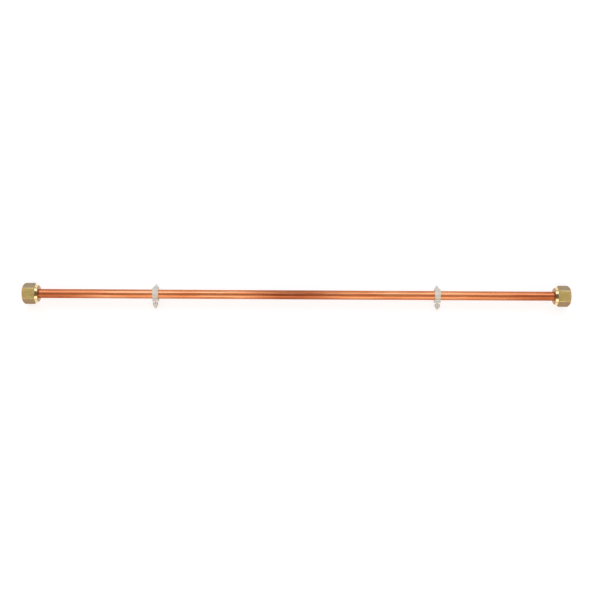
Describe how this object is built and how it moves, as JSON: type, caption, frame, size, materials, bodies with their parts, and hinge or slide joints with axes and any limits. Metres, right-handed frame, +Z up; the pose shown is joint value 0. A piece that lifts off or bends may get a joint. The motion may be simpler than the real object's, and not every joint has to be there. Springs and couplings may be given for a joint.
{
  "type": "copper pipe length with flare nuts",
  "caption": "Straight copper tube, flared at both ends behind swivelling brass hexagon flare nuts, with nylon spring clips whose arrowheads push into a panel.",
  "frame": {"origin": "middle of the tube, on its axis", "axes": "+X along the tube, +Z up from the floor on which the nuts' flats rest, +Y to the open side of the clips"},
  "size_m": [0.7676, 0.035, 0.026],
  "materials": {
    "copper": "satin",
    "brass": "satin",
    "natural_nylon": "satin"
  },
  "bodies": {
    "tube": {"copper_tube": "copper", "pipe_clip_left": "natural_nylon", "pipe_clip_right": "natural_nylon"},
    "nut_left": {"flare_nut_left": "brass"},
    "nut_right": {"flare_nut_right": "brass"}
  },
  "joints": [
    {"name": "nut_left_swivel", "type": "hinge", "parent": "tube", "child": "nut_left", "pos_m": [-0.37732, 0, 0], "axis": [1, 0, 0], "continuous": true},
    {"name": "nut_right_swivel", "type": "hinge", "parent": "tube", "child": "nut_right", "pos_m": [0.37732, 0, 0], "axis": [1, 0, 0], "continuous": true}
  ]
}
